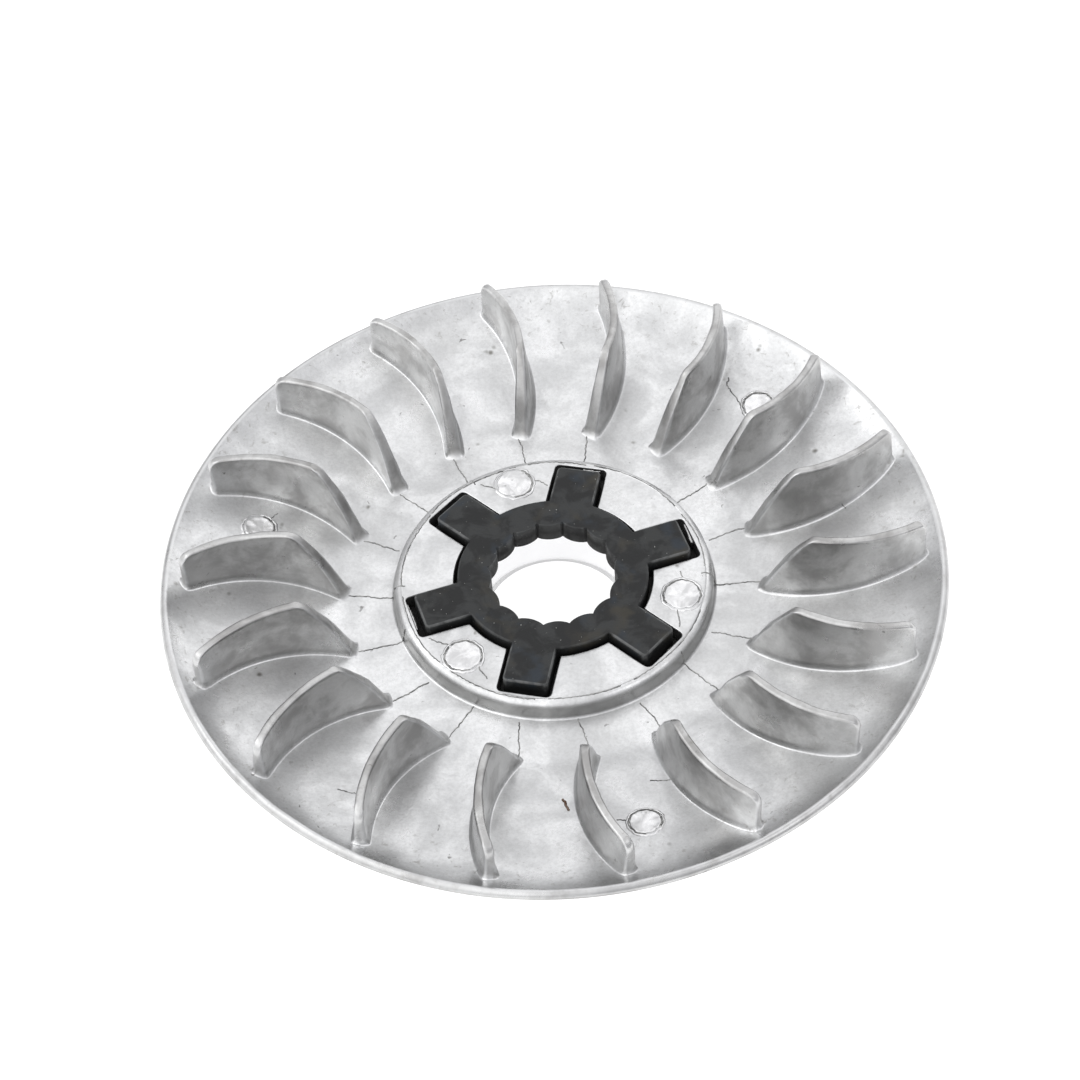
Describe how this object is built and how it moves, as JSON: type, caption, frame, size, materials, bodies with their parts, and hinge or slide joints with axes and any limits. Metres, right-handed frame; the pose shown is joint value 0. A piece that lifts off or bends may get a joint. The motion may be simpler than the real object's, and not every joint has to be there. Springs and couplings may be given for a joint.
{
  "type": "fan drive face pulley half",
  "caption": "Round belt pulley half with curved cooling blades cast on its outer side and a splined steel insert in its boss.",
  "frame": {"origin": "on the turning axis, in the plane of the hub's flat end face, the lowest point", "axes": "+Z along the turning axis towards the fan blades; +X and +Y across the disc"},
  "size_m": [0.113, 0.113, 0.0188],
  "materials": {
    "cast_aluminium": "as-cast, satin, lightly smudged",
    "dark_steel": "black oxide, satin"
  },
  "bodies": {
    "root": {"fan_casting": "cast_aluminium", "splined_insert": "dark_steel"}
  },
  "joints": []
}
